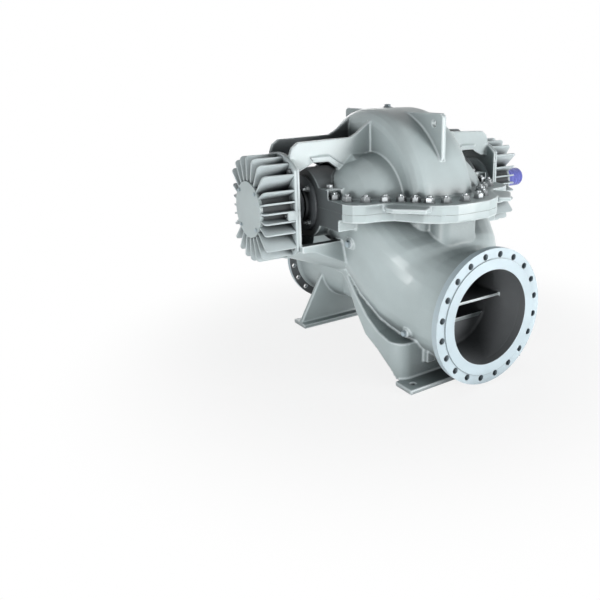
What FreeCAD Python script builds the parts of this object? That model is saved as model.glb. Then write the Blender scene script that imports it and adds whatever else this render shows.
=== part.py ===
import FreeCAD
import Part
import math
import os

# Split case pump. Model space: shaft axis along X at y = 0, nozzle centre plane at x = 0.
# The suction side is -Y, the drive end is +X and the floor is z = 0.
# Saved files are moved along Y so that the origin is the middle of the foundation bolts.

# Main heights and positions, in millimetres
AXIS_Z = 885.0
NOZZLE_Z = 370.0
SUCTION_FACE_Y = -885.0
DISCHARGE_FACE_Y = 705.0
CLEAR = 0.2

# Suction nozzle, DN500 PN16
SUC_OD = 715.0
SUC_PCD = 650.0
SUC_COUNT = 20
SUC_HOLE_R = 16.5
SUC_BORE_R = 250.0
SUC_FACE_R = 305.0
SUC_THICK = 42.0

# Discharge nozzle, DN450 PN16
DIS_OD = 640.0
DIS_PCD = 585.0
DIS_COUNT = 20
DIS_HOLE_R = 15.0
DIS_BORE_R = 225.0
DIS_FACE_R = 274.0
DIS_THICK = 38.0
RAISED = 6.0

# Casing
WALL = 30.0
VOLUTE_HALF = 205.0
VOLUTE_EDGE_R = 75.0
BULGE_Y = -150.0
BULGE_Z = 860.0
BULGE_R = 300.0
BULGE_LEN = 500.0
CHAMBER_R = 285.0
EYE_R = 190.0
SIDES = 36
ROWS = 9
DIVIDER_HALF = 140.0
VOLUTE_INNER_HALF = 110.0

# Parting flange
UPPER_FLANGE = 50.0
LOWER_FLANGE = 42.0
GASKET = 1.0
PART_HEAD_AF = 46.0
PART_HEAD_H = 22.0
BOSS_TOP_Z = 985.0
BOSS_HEAD_AF = 30.0
BOSS_INNER_X = 462.0
SCOOP_R = 38.0
FLANGE_END_X = 560.0
NOSE_HALF = 135.0
NOSE_Y = -650.0
NOSE_CORNER = 70.0

# Seal chamber, gland and shaft
SEAL_R = 190.0
SEAL_END_X = 560.0
SEAL_BORE_R = 112.0
GLAND_R = 150.0
GLAND_THICK = 20.0
GLAND_COLLAR_R = 98.0
GLAND_COLLAR_END_X = 600.0
SHAFT_END_R = 60.0
SHAFT_END_X = 1111.0
SHAFT_END_ROUND = 12.0
COUPLING_STOP_X = 895.0
SHAFT_STEP_R = 63.0
SHAFT_SEAT_R = 65.0
SHAFT_BODY_R = 72.0
SLEEVE_R = 84.0
RUN_GAP = 6.0
IMPELLER_R = 300.0
KEY_WIDTH = 32.0
KEY_DEPTH = 11.0
KEY_TURN = 22.5
BEARING_GAP = 0.05

# Bosses for the plugs: face x, y, z
SIDE_BOSS = (-464.0, -288.0, 699.0)
DRAIN_BOSS = (-322.0, -588.0, 263.0)
TOP_BOSS_R = 26.0
CROWN_Z = 1375.0

# Bearing brackets and housings
RING_OUT_X = 698.0
RING_THICK = 16.0
RING_HALF_W = 190.0
RING_TOP_R = 282.0
RING_BORE_R = 158.0
HOUSING_FLANGE = 15.0
HOUSING_R = 145.0
HOUSING_END_X = 870.0
COVER_R = 146.0
COVER_END_X = 886.0
FIN_COUNT = 24
FIN_THICK = 9.0
FIN_TOP_R = 275.0
FIN_END_X = 884.0
FIN_CORNER = 22.0
EAR_END_X = -754.0
EAR_DEPTH = 30.0
EAR_HEIGHT = 44.0
BEARING_R = 115.0
BEARING_WIDTH = 40.0
BEARING_X = 780.0
ARM_Y = 122.0
ARM_THICK = 26.0
LIP = 9.0

# Feet
FOOT_HALF_X = 400.0
FOOT_THICK = 25.0
FRONT_FOOT = (-745.0, -610.0)
REAR_FOOT = (345.0, 485.0)
FRONT_BOLT_Y = -685.0
REAR_BOLT_Y = 415.0
FOOT_BOLT_X = 340.0
FOOT_HOLE_R = 14.0
LEG_HALF_X = 395.0
LEG_FRONT_Y = -628.0
LEG_WALL = 25.0
LEG_CORNER = 85.0
FRAME_SHIFT = -0.5 * (FRONT_BOLT_Y + REAR_BOLT_Y)

VEC = FreeCAD.Vector
X_DIR = VEC(1, 0, 0)
Y_DIR = VEC(0, 1, 0)
Z_DIR = VEC(0, 0, 1)


def box(x0, x1, y0, y1, z0, z1):
    return Part.makeBox(x1 - x0, y1 - y0, z1 - z0, VEC(x0, y0, z0))


def rod_x(radius, x0, x1, y=0.0, z=AXIS_Z):
    return Part.makeCylinder(radius, x1 - x0, VEC(x0, y, z), X_DIR)


def rod_y(radius, y0, y1, x=0.0, z=NOZZLE_Z):
    return Part.makeCylinder(radius, y1 - y0, VEC(x, y0, z), Y_DIR)


def rod_z(radius, z0, z1, x, y):
    return Part.makeCylinder(radius, z1 - z0, VEC(x, y, z0), Z_DIR)


def face_of(points):
    loop = [VEC(*p) for p in points]
    loop.append(loop[0])
    return Part.Face(Part.makePolygon(loop))


def plate_x(points, x0, x1):
    return face_of([(x0, y, z) for y, z in points]).extrude(VEC(x1 - x0, 0, 0))


def plate_y(points, y0, y1):
    return face_of([(x, y0, z) for x, z in points]).extrude(VEC(0, y1 - y0, 0))


def plate_z(points, z0, z1):
    return face_of([(x, y, z0) for x, y in points]).extrude(VEC(0, 0, z1 - z0))


def turned(profile, y=0.0, z=AXIS_Z):
    # Solid of revolution about an axis along X, profile in (x, radius).
    face = face_of([(x, y, z + r) for x, r in profile])
    return face.revolve(VEC(0, y, z), X_DIR, 360)


def fuse_all(shapes):
    result = shapes[0].multiFuse(shapes[1:])
    merged = result.removeSplitter()
    return merged if merged.isValid() else result


def mirror_x(shape):
    return shape.mirror(VEC(0, 0, 0), X_DIR)


def both_ends(shape):
    return [shape, mirror_x(shape)]


def bolt_circle(pcd, count, radius, y0, y1):
    holes = []
    for i in range(count):
        angle = math.radians((i + 0.5) * 360.0 / count)
        x = 0.5 * pcd * math.sin(angle)
        z = NOZZLE_Z + 0.5 * pcd * math.cos(angle)
        holes.append(rod_y(radius, y0, y1, x, z))
    return holes


def section(y, z, tilt, half_x, half_v, power):
    # Closed outline of many short sides, tilted about X from upright to level.
    t = math.radians(tilt)
    points = []
    for i in range(SIDES):
        a = 2.0 * math.pi * i / SIDES
        c = math.cos(a)
        s = math.sin(a)
        u = half_x * math.copysign(abs(c) ** (2.0 / power), c)
        v = half_v * math.copysign(abs(s) ** (2.0 / power), s)
        points.append(VEC(u, y - v * math.sin(t), z + v * math.cos(t)))
    return Part.makePolygon(points + points[:1])


def eased(rows, count):
    # More rows on a smooth curve through the given ones.
    last = len(rows) - 1
    result = []
    for k in range(count + 1):
        i = min(last - 1, k * last // count)
        f = last * k / count - i
        near = [rows[max(0, i - 1)], rows[i], rows[i + 1], rows[min(last, i + 2)]]
        row = []
        for a, b, c, d in zip(*near):
            curve = (2 * a - 5 * b + 4 * c - d) * f + (3 * b - a - 3 * c + d) * f * f
            row.append(b + 0.5 * f * (c - a + curve))
        result.append(row)
    return result


# Suction elbow: y, z, tilt, half width, half height, squareness
ELBOW = [
    (-850.0, 370.0, 0.0, 288.0, 288.0, 2.0),
    (-740.0, 372.0, 2.0, 294.0, 290.0, 2.1),
    (-600.0, 395.0, 14.0, 325.0, 294.0, 2.4),
    (-450.0, 480.0, 38.0, 385.0, 305.0, 2.8),
    (-290.0, 640.0, 66.0, 440.0, 300.0, 3.0),
    (-165.0, 845.0, 90.0, 480.0, 290.0, 3.2),
]


def suction_elbow():
    return Part.makeLoft([section(*row) for row in eased(ELBOW, ROWS)], True, True)


def pipe(start, end, radius):
    # Round way between two points of the plane x = 0, given as (y, z).
    base = VEC(0, start[0], start[1])
    way = VEC(0, end[0], end[1]) - base
    return Part.makeCylinder(radius, way.Length, base, way)


def suction_way():
    bore = rod_y(SUC_BORE_R, SUCTION_FACE_Y - 5, -600)
    lower = pipe((-660.0, 350.0), (-400.0, 560.0), SUC_BORE_R)
    upper = pipe((-480.0, 420.0), (-200.0, 860.0), SUC_BORE_R)
    return [bore, lower, upper]


# Volute outline: angle from the rear over the top, and radius
SPIRAL = [
    (0.0, 462.0),
    (45.0, 473.0),
    (90.0, 490.0),
    (135.0, 526.0),
    (180.0, 552.0),
    (222.0, 603.0),
    (265.0, 680.0),
]


def volute_outline(x, inset):
    # Three arcs that open out towards the discharge, closed by straight sides.
    points = []
    for angle, radius in SPIRAL:
        a = math.radians(angle)
        r = radius - inset
        points.append(VEC(x, r * math.cos(a), AXIS_Z + r * math.sin(a)))
    edges = [Part.Arc(points[i], points[i + 1], points[i + 2]).toShape() for i in (0, 2, 4)]
    first = points[0]
    last = points[-1]
    low = VEC(x, 240.0 - inset, last.z)
    back = VEC(x, 240.0 - inset, first.z - 330.0)
    edges.append(Part.makeLine(last, low))
    edges.append(Part.makeLine(low, back))
    edges.append(Part.makeLine(back, first))
    return Part.Wire(edges)


def volute_block(inset, half_x, edge_r=0.0):
    # Spiral slab with its two rims rounded by edge_r.
    flat = half_x - edge_r
    middle = Part.Face(volute_outline(-flat, inset)).extrude(VEC(2.0 * flat, 0, 0))
    if edge_r == 0.0:
        return middle
    wires = []
    for i in range(5):
        a = math.radians(22.5 * i)
        x = -flat - edge_r * math.sin(a)
        wires.append(volute_outline(x, inset + edge_r * (1.0 - math.cos(a))))
    cap = Part.makeLoft(wires, True, True)
    return fuse_all([middle, cap, mirror_x(cap)])


# Discharge duct: y, z, half width, half height, squareness
DUCT = [
    (60.0, 410.0, 185.0, 170.0, 3.0),
    (250.0, 388.0, 212.0, 212.0, 2.6),
    (450.0, 372.0, 240.0, 240.0, 2.1),
    (690.0, 370.0, 255.0, 255.0, 2.0),
]


def discharge_duct():
    wires = [section(y, z, 0.0, half_x, half_z, power) for y, z, half_x, half_z, power in DUCT]
    return Part.makeLoft(wires, True, True)


def discharge_way():
    start = VEC(0, 60, 405)
    end = VEC(0, 480, NOZZLE_Z)
    taper = Part.makeCone(135, DIS_BORE_R - 5, (end - start).Length, start, end - start)
    return [taper, rod_y(DIS_BORE_R, 430, DISCHARGE_FACE_Y + 5)]


# Suction bulge: share of its length and share of its radius
BULGE = [(0.0, 1.0), (0.34, 0.98), (0.6, 0.895), (0.78, 0.765), (0.9, 0.6), (0.97, 0.4), (1.0, 0.17)]


def bulge(inset):
    length = BULGE_LEN - inset
    radius = BULGE_R - inset
    shape = BULGE if inset == 0.0 else BULGE[::2]
    right = [(x * length, r * radius) for x, r in shape]
    left = [(-x, r) for x, r in reversed(right[1:])]
    profile = [(-length, 0.0)] + left + right + [(length, 0.0)]
    return turned(profile, BULGE_Y, BULGE_Z)


def chamber(inset):
    r = CHAMBER_R - inset
    x = 400.0
    return turned([(-x, 0), (-x, r * 0.8), (-x + 70, r), (x - 70, r), (x, r * 0.8), (x, 0)])


# Parting flange outline for x < 0, from the front centre to the rear centre
FLANGE_HALF = [
    (0.0, -742.0),
    (-106.0, -737.0),
    (-188.0, -706.0),
    (-253.0, -650.0),
    (-296.0, -575.0),
    (-335.0, -515.0),
    (-390.0, -488.0),
    (-480.0, -476.0),
    (-535.0, -445.0),
    (-FLANGE_END_X, -395.0),
    (-FLANGE_END_X, 250.0),
    (-520.0, 330.0),
    (-410.0, 400.0),
    (-290.0, 470.0),
    (-200.0, 540.0),
    (-100.0, 570.0),
    (0.0, 575.0),
]


def flange_outline():
    left = FLANGE_HALF
    right = [(-x, y) for x, y in reversed(left[1:-1])]
    return left + right


# Parting bolt positions for x < 0, with the one that the front boss is scooped round
SCOOP_BOLT = (-516.0, -250.0)
BOLT_HALF = [
    (-112.0, -650.0),
    (-184.0, -606.0),
    (-226.0, -547.0),
    (-275.0, -494.0),
    (-342.0, -448.0),
    (-430.0, -402.0),
    (-494.0, -332.0),
    SCOOP_BOLT,
    (-506.0, 292.0),
    (-432.0, 340.0),
    (-335.0, 395.0),
    (-240.0, 455.0),
    (-150.0, 515.0),
    (-50.0, 530.0),
]

# Middle of the bolt on each end boss
FRONT_BOSS_BOLT = (-508.0, -184.0)
REAR_BOSS_BOLT = (-508.0, 208.0)


def bolt_places():
    return BOLT_HALF + [(-x, y) for x, y in BOLT_HALF] + [(0.0, -668.0)]


def upper_bosses():
    # The front boss is scooped out round the head of the flange bolt before it.
    x, y = SCOOP_BOLT
    front = box(-FLANGE_END_X, -BOSS_INNER_X, y, -150.0, AXIS_Z, BOSS_TOP_Z)
    front = front.cut(rod_z(SCOOP_R, AXIS_Z + UPPER_FLANGE, BOSS_TOP_Z + 1, x, y))
    rear = box(-FLANGE_END_X, -BOSS_INNER_X, 165.0, 250.0, AXIS_Z, BOSS_TOP_Z)
    return both_ends(front) + both_ends(rear)


def lower_bosses():
    top = AXIS_Z - GASKET
    front = box(-FLANGE_END_X, -440.0, -345.0, -165.0, 785.0, top)
    rear = box(-FLANGE_END_X, -440.0, 165.0, 250.0, 785.0, top)
    return both_ends(front) + both_ends(rear)


def nose():
    # Upright block under the front lobe of the flange, rounded at its front corners.
    r = NOSE_CORNER
    w = NOSE_HALF
    low = 640.0
    high = AXIS_Z - GASKET - 1
    shapes = [box(-w + r, w - r, NOSE_Y, -440.0, low, high), box(-w, w, NOSE_Y + r, -440.0, low, high)]
    shapes += [rod_z(r, low, high, x, NOSE_Y + r) for x in (-w + r, w - r)]
    return shapes


def half_ring(upper):
    # Bracket ring that carries the bearing housing, one half of it.
    w = RING_HALF_W
    disc = rod_x(RING_TOP_R, -RING_OUT_X, -RING_OUT_X + RING_THICK)
    disc = disc.common(box(-RING_OUT_X - 1, 0, -w, w, 0, 2000))
    if upper:
        half = box(-RING_OUT_X - 1, 0, -400, 400, AXIS_Z, 2000)
    else:
        half = box(-RING_OUT_X - 1, 0, -400, 400, 0, AXIS_Z - GASKET)
    return disc.common(half)


def upper_arms():
    outline = [
        (-RING_OUT_X + 2, AXIS_Z + 190),
        (-RING_OUT_X + 2, 1160.0),
        (-682.0, 1196.0),
        (-646.0, 1222.0),
        (-335.0, 1232.0),
        (-290.0, 1253.0),
        (-180.0, 1334.0),
        (-180.0, 1110.0),
        (-343.0, 1045.0),
        (-418.0, 1073.0),
        (-477.0, 1114.0),
        (-563.0, 1114.0),
        (-601.0, 1092.0),
        (-640.0, AXIS_Z + 190),
    ]
    lip = [
        (-581, 1140), (-471, 1143), (-409, 1101), (-343, 1075),
        (-343, 1045), (-418, 1073), (-477, 1114), (-563, 1114),
    ]
    front = plate_y(outline, -ARM_Y, -ARM_Y + ARM_THICK)
    front_lip = plate_y(lip, -ARM_Y - LIP, -ARM_Y + 6)
    rear = plate_y(outline, ARM_Y - ARM_THICK, ARM_Y)
    rear_lip = plate_y(lip, ARM_Y - 6, ARM_Y + LIP)
    return [front, front_lip, rear, rear_lip]


def jacking_ear():
    points = [(-375, -480), (-418, -560), (-408, -600), (-290, -712), (-235, -680), (-260, -560)]
    return plate_z(points, AXIS_Z + 20, AXIS_Z + 43)


def lower_trough():
    # Open channel under each seal, from the ring to the casing.
    x0 = -RING_OUT_X + 4
    outer = turned([(x0, 0), (x0, 281), (-400, 392), (-400, 0)])
    inner = turned([(x0 - 5, 0), (x0 - 5, 252), (-380, 370), (-380, 0)])
    shell = outer.cut(inner)
    shell = shell.common(box(-700, -380, -215, 215, 400, 700))
    rims = [box(x0, -400, -215, -170, 664, 702), box(x0, -400, 170, 215, 664, 702)]
    return [shell] + rims


def lug_plate():
    points = [(-497, 1120), (-497, 1345), (-480, 1362), (413, 1362), (428, 1345), (428, 1120)]
    plate = plate_x(points, -14, 14)
    for y in (-430.0, 372.0):
        plate = plate.cut(rod_x(17, -30, 30, y, 1308))
    return plate


def rounded_plan(half_x, front, corner, z0, z1):
    # Upright prism, open to the rear, with its two front corners rounded.
    flat = half_x - corner
    shapes = [box(-flat, flat, front, 20, z0, z1), box(-half_x, half_x, front + corner, 20, z0, z1)]
    shapes += [rod_z(corner, z0, z1, x, front + corner) for x in (-flat, flat)]
    return shapes[0].multiFuse(shapes[1:])


def front_leg():
    # Hollow pedestal that runs back up the belly, with a shelf along its upper edge.
    outer = rounded_plan(LEG_HALF_X, LEG_FRONT_Y, LEG_CORNER, 0, 700)
    wall = LEG_WALL
    inner = rounded_plan(LEG_HALF_X - wall, LEG_FRONT_Y + wall, LEG_CORNER - wall, -1, 701)
    edge = [
        (LEG_FRONT_Y - 1, 221), (-540, 224), (-443, 246), (-343, 301),
        (-239, 395), (-154, 492), (-68, 607), (20, 607),
    ]
    back = [(20, 481), (-103, 479), (-153, 441), (-237, 300), (-331, 190), (-442, 141), (-560, 72)]
    band = edge + back + [(-592, 20), (LEG_FRONT_Y - 1, 20)]
    walls = outer.cut(inner).common(plate_x(band, -400, 400))
    shelf = edge + [(y, z - 16) for y, z in reversed(edge)]
    shelf = outer.common(plate_x(shelf, -400, -235))
    return [walls] + both_ends(shelf)


def rear_web():
    return plate_y([(-LEG_HALF_X, 20), (LEG_HALF_X, 20), (190, 400), (-190, 400)], 395, 425)


def feet():
    pads = []
    for y0, y1, yb in (FRONT_FOOT + (FRONT_BOLT_Y,), REAR_FOOT + (REAR_BOLT_Y,)):
        pads.append(box(-FOOT_HALF_X, FOOT_HALF_X, y0, y1, 0, FOOT_THICK))
    return pads


def foot_holes():
    holes = []
    for y in (FRONT_BOLT_Y, REAR_BOLT_Y):
        for x in (-FOOT_BOLT_X, FOOT_BOLT_X):
            holes.append(rod_z(FOOT_HOLE_R, -5, FOOT_THICK + 5, x, y))
    return holes


def plug_boss(x, y, z, radius, depth):
    # Round boss on the suction side that faces -X, its face at x.
    return rod_x(radius, x, x + depth, y, z)


def splitter():
    # Level rib across the suction way.
    return box(-320, 320, -700, -470, 385, 403)


def water_space():
    # Suction way round the volute, the volute itself and the discharge way.
    wall = WALL
    suction = bulge(wall).fuse([chamber(wall)] + suction_way())
    suction = suction.cut([volute_block(12.0, DIVIDER_HALF), splitter()])
    volute = volute_block(wall + 10, VOLUTE_INNER_HALF)
    eye = rod_x(EYE_R, -DIVIDER_HALF - 5, DIVIDER_HALF + 5)
    seal = rod_x(SEAL_BORE_R, -SEAL_END_X - 5, SEAL_END_X + 5)
    return [suction, volute, eye, seal] + discharge_way()


def casing_block():
    shapes = [volute_block(0.0, VOLUTE_HALF, VOLUTE_EDGE_R), bulge(0.0), chamber(0.0)]
    shapes.append(rod_x(SEAL_R, -SEAL_END_X, SEAL_END_X))
    return shapes


def upper_casing():
    space = box(-900, 900, -1200, 1200, AXIS_Z, 2000)
    shapes = [s.common(space) for s in casing_block()]
    shapes.append(plate_z(flange_outline(), AXIS_Z, AXIS_Z + UPPER_FLANGE))
    shapes += upper_bosses()
    for piece in upper_arms() + [half_ring(True), jacking_ear()]:
        shapes += both_ends(piece)
    shapes.append(lug_plate())
    shapes.append(rod_z(TOP_BOSS_R, CROWN_Z - 20, CROWN_Z + 6, 0, 0))
    body = fuse_all(shapes)
    tools = water_space()
    tools.append(rod_x(RING_BORE_R, -RING_OUT_X - 5, -RING_OUT_X + RING_THICK + 5))
    tools.append(rod_x(RING_BORE_R, RING_OUT_X - RING_THICK - 5, RING_OUT_X + 5))
    return body.cut(tools)


def lower_casing():
    top = AXIS_Z - GASKET
    space = box(-900, 900, -1200, 1200, 0, top)
    shapes = [s.common(space) for s in casing_block()]
    shapes.append(suction_elbow())
    shapes.append(discharge_duct())
    shapes.append(plate_z(flange_outline(), top - LOWER_FLANGE, top))
    shapes += lower_bosses() + nose()
    for piece in lower_trough() + [half_ring(False)]:
        shapes += both_ends(piece)
    shapes.append(rod_y(0.5 * SUC_OD, SUCTION_FACE_Y + RAISED, SUCTION_FACE_Y + SUC_THICK))
    shapes.append(rod_y(SUC_FACE_R, SUCTION_FACE_Y, SUCTION_FACE_Y + SUC_THICK))
    shapes.append(rod_y(0.5 * DIS_OD, DISCHARGE_FACE_Y - DIS_THICK, DISCHARGE_FACE_Y - RAISED))
    shapes.append(rod_y(DIS_FACE_R, DISCHARGE_FACE_Y - DIS_THICK, DISCHARGE_FACE_Y))
    shapes += front_leg() + [rear_web()] + feet()
    shapes.append(plug_boss(*SIDE_BOSS, 28, 90))
    shapes.append(plug_boss(*DRAIN_BOSS, 24, 70))
    shapes.append(box(-228, -172, -664, -575, 98, 160))
    body = fuse_all(shapes)
    tools = water_space()
    tools.append(rod_x(RING_BORE_R, -RING_OUT_X - 5, -RING_OUT_X + RING_THICK + 5))
    tools.append(rod_x(RING_BORE_R, RING_OUT_X - RING_THICK - 5, RING_OUT_X + 5))
    tools += bolt_circle(SUC_PCD, SUC_COUNT, SUC_HOLE_R, SUCTION_FACE_Y, SUCTION_FACE_Y + SUC_THICK + 5)
    tools += bolt_circle(DIS_PCD, DIS_COUNT, DIS_HOLE_R, DISCHARGE_FACE_Y - DIS_THICK - 5, DISCHARGE_FACE_Y)
    tools += foot_holes()
    return body.cut(tools)


def fin(angle, root_x):
    # Radial fin with a rounded outer corner; the side fins are cut back to the flange width.
    side = abs(math.sin(math.radians(angle)))
    reach = FIN_TOP_R if side < 0.2 else min(FIN_TOP_R, (RING_HALF_W - 1) / side)
    c = min(FIN_CORNER, 0.5 * (reach - HOUSING_R))
    end = -FIN_END_X
    points = [
        (root_x, 140), (root_x, reach), (end + c, reach), (end + 0.3 * c, reach - 0.3 * c),
        (end, reach - c), (end, 140),
    ]
    plate = face_of([(x, -0.5 * FIN_THICK, AXIS_Z + r) for x, r in points])
    plate = plate.extrude(VEC(0, FIN_THICK, 0))
    plate.rotate(VEC(0, 0, AXIS_Z), X_DIR, angle)
    return plate


def bearing_housing(drive_end):
    # Finned housing at the non-drive end; the drive end is its mirror image.
    seat = -RING_OUT_X
    face = seat - HOUSING_FLANGE
    w = RING_HALF_W
    disc = rod_x(RING_TOP_R, face, seat).common(box(-900, 0, -w, w, 0, 2000))
    shapes = [disc, rod_x(HOUSING_R, -HOUSING_END_X, face + 1)]
    for y in (-w, w - EAR_DEPTH):
        shapes.append(box(EAR_END_X, face + 1, y, y + EAR_DEPTH, AXIS_Z - EAR_HEIGHT, AXIS_Z))
    shapes.append(rod_x(RING_BORE_R - CLEAR, seat - 1, seat + RING_THICK - 2))
    for i in range(FIN_COUNT):
        shapes.append(fin(i * 360.0 / FIN_COUNT, face + 1))
    body = fuse_all(shapes)
    pocket = rod_x(BEARING_R, -HOUSING_END_X - 1, -BEARING_X + 0.5 * BEARING_WIDTH)
    throat = rod_x(SHAFT_BODY_R + RUN_GAP, -HOUSING_END_X - 1, seat + RING_THICK)
    recess = rod_x(COVER_R + CLEAR, -FIN_END_X - 1, -HOUSING_END_X)
    body = body.cut([pocket, throat, recess])
    return mirror_x(body) if drive_end else body


def bearing(drive_end):
    x0 = -BEARING_X - 0.5 * BEARING_WIDTH
    x1 = x0 + BEARING_WIDTH
    ring = rod_x(BEARING_R - 0.02, x0, x1).cut(rod_x(SHAFT_SEAT_R + BEARING_GAP, x0 - 1, x1 + 1))
    return mirror_x(ring) if drive_end else ring


def bearing_cover(drive_end):
    cover = rod_x(COVER_R, -COVER_END_X, -HOUSING_END_X)
    if drive_end:
        cover = mirror_x(cover).cut(rod_x(SHAFT_STEP_R + RUN_GAP, HOUSING_END_X - 1, COVER_END_X + 1))
    return cover


def seal_cover(drive_end):
    x0 = -SEAL_END_X
    plate = rod_x(GLAND_R, x0 - GLAND_THICK, x0)
    collar = rod_x(GLAND_COLLAR_R, -GLAND_COLLAR_END_X, x0 - 1)
    body = plate.fuse(collar).cut(rod_x(SLEEVE_R + RUN_GAP, -GLAND_COLLAR_END_X - 1, x0 + 1))
    return mirror_x(body) if drive_end else body


def shaft():
    seat = BEARING_X + 0.5 * BEARING_WIDTH
    inner = BEARING_X - 0.5 * BEARING_WIDTH
    profile = [
        (-seat - 12, 0), (-seat - 12, SHAFT_SEAT_R), (-inner, SHAFT_SEAT_R),
        (-inner, SHAFT_BODY_R), (inner, SHAFT_BODY_R), (inner, SHAFT_SEAT_R),
        (seat + 5, SHAFT_SEAT_R), (seat + 5, SHAFT_STEP_R), (COUPLING_STOP_X, SHAFT_STEP_R),
        (COUPLING_STOP_X, SHAFT_END_R), (SHAFT_END_X - SHAFT_END_ROUND, SHAFT_END_R),
        (SHAFT_END_X - 4, SHAFT_END_R - 4), (SHAFT_END_X, SHAFT_END_R - SHAFT_END_ROUND), (SHAFT_END_X, 0),
    ]
    return turned(profile).cut(shaft_key())


def shaft_key():
    # Half key, flush with the shaft end and a little above its rear side.
    x0 = COUPLING_STOP_X + 5
    x1 = SHAFT_END_X - 20
    low = AXIS_Z - 0.5 * KEY_WIDTH
    key = box(x0, x1, SHAFT_END_R - KEY_DEPTH, SHAFT_END_R, low, low + KEY_WIDTH)
    key = key.common(rod_x(SHAFT_END_R, x0, x1))
    key.rotate(VEC(0, 0, AXIS_Z), X_DIR, KEY_TURN)
    return key


def shaft_sleeves():
    x0 = -GLAND_COLLAR_END_X - 10
    sleeve = rod_x(SLEEVE_R, x0, -190).cut(rod_x(SHAFT_BODY_R, x0 - 1, -189))
    return Part.makeCompound(both_ends(sleeve))


def deflectors():
    # Discs that throw water off the shaft before it reaches the bearings.
    disc = rod_x(118, -640, -624).cut(rod_x(SHAFT_BODY_R, -641, -623))
    return Part.makeCompound(both_ends(disc))


def impeller():
    # Double inlet impeller as one turned body: hub and rim.
    rim = rod_x(IMPELLER_R, -45, 45)
    hub = rod_x(110, -180, 180)
    return rim.fuse(hub).cut(rod_x(SHAFT_BODY_R, -181, 181))


def hex_loop(flats):
    radius = flats / math.sqrt(3.0)
    angles = [math.radians(60.0 * i) for i in range(6)]
    return [(radius * math.cos(a), radius * math.sin(a)) for a in angles]


def hex_up(x, y, z0, flats, height):
    # Hexagon head that stands up on a level face.
    return plate_z([(x + u, y + v) for u, v in hex_loop(flats)], z0, z0 + height)


def hex_out(x0, y, z, flats, height):
    # Hexagon head on a face that looks along -X.
    return plate_x([(y + u, z + v) for u, v in hex_loop(flats)], x0 - height, x0)


def around(radius, angles):
    # Places on a circle about the shaft axis, angles from the top.
    turns = [math.radians(a) for a in angles]
    return [(radius * math.sin(a), AXIS_Z + radius * math.cos(a)) for a in turns]


def heads(places, x0, flats, height, drive_end):
    group = Part.makeCompound([hex_out(x0, y, z, flats, height) for y, z in places])
    return mirror_x(group) if drive_end else group


def parting_bolts():
    z0 = AXIS_Z + UPPER_FLANGE
    bolts = [hex_up(x, y, z0, PART_HEAD_AF, PART_HEAD_H) for x, y in bolt_places()]
    return Part.makeCompound(bolts)


def boss_bolts():
    places = [FRONT_BOSS_BOLT, REAR_BOSS_BOLT]
    places += [(-x, y) for x, y in places]
    return Part.makeCompound([hex_up(x, y, BOSS_TOP_Z, BOSS_HEAD_AF, 18.0) for x, y in places])


def housing_bolts(drive_end):
    # One bolt in each fourth gap between the fins.
    face = -RING_OUT_X - HOUSING_FLANGE
    return heads(around(243.0, (37.5, 142.5, 217.5, 322.5)), face, 30.0, 14.0, drive_end)


def ear_bolts(drive_end):
    y = 0.5 * (RING_HALF_W + HOUSING_R)
    z = AXIS_Z - 0.5 * EAR_HEIGHT
    return heads([(-y, z), (y, z)], EAR_END_X, 14.0, 9.0, drive_end)


def cover_screws(drive_end):
    return heads(around(129.0, (45.0, 135.0, 225.0, 315.0)), -COVER_END_X, 17.0, 8.0, drive_end)


def gland_nuts(drive_end):
    places = around(125.0, (45.0, 135.0, 225.0, 315.0))
    return heads(places, -SEAL_END_X - GLAND_THICK, 27.0, 18.0, drive_end)


def side_plug():
    x, y, z = SIDE_BOSS
    return hex_out(x, y, z, 32.0, 14.0)


def drain_plug():
    x, y, z = DRAIN_BOSS
    return hex_out(x, y, z, 27.0, 14.0)


def top_plug():
    return hex_up(0.0, 0.0, CROWN_Z + 6, 32.0, 14.0)


def casing_gasket():
    sheet = plate_z(flange_outline(), AXIS_Z - GASKET, AXIS_Z)
    inner = [(x * 0.9, y * 0.88) for x, y in flange_outline()]
    opening = plate_z(inner, AXIS_Z - 2, AXIS_Z + 2)
    shaft_way = box(-900, 900, -SEAL_BORE_R, SEAL_BORE_R, AXIS_Z - 2, AXIS_Z + 2)
    return sheet.cut([opening, shaft_way])


def save(name, shape):
    shape = shape.copy()
    shape.translate(VEC(0, FRAME_SHIFT, 0))
    print(name, "solids", len(shape.Solids), "valid", shape.isValid(), "litres", round(shape.Volume / 1e6, 2))
    shape.exportStep("parts/" + name + ".step")


def main():
    os.makedirs("parts", exist_ok=True)
    save("lower_casing", lower_casing())
    save("upper_casing", upper_casing())
    save("casing_gasket", casing_gasket())
    save("parting_bolts", parting_bolts())
    save("boss_bolts", boss_bolts())
    save("top_plug", top_plug())
    save("side_plug", side_plug())
    save("drain_plug", drain_plug())
    for drive_end, end in ((False, "nde"), (True, "de")):
        save(end + "_bearing_housing", bearing_housing(drive_end))
        save(end + "_bearing_cover", bearing_cover(drive_end))
        save(end + "_bearing", bearing(drive_end))
        save(end + "_seal_cover", seal_cover(drive_end))
        save(end + "_housing_bolts", housing_bolts(drive_end))
        save(end + "_ear_bolts", ear_bolts(drive_end))
        save(end + "_cover_screws", cover_screws(drive_end))
        save(end + "_gland_nuts", gland_nuts(drive_end))
    save("shaft_sleeves", shaft_sleeves())
    save("deflectors", deflectors())
    save("shaft", shaft())
    save("shaft_key", shaft_key())
    save("impeller", impeller())


main()
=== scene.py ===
import math

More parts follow.
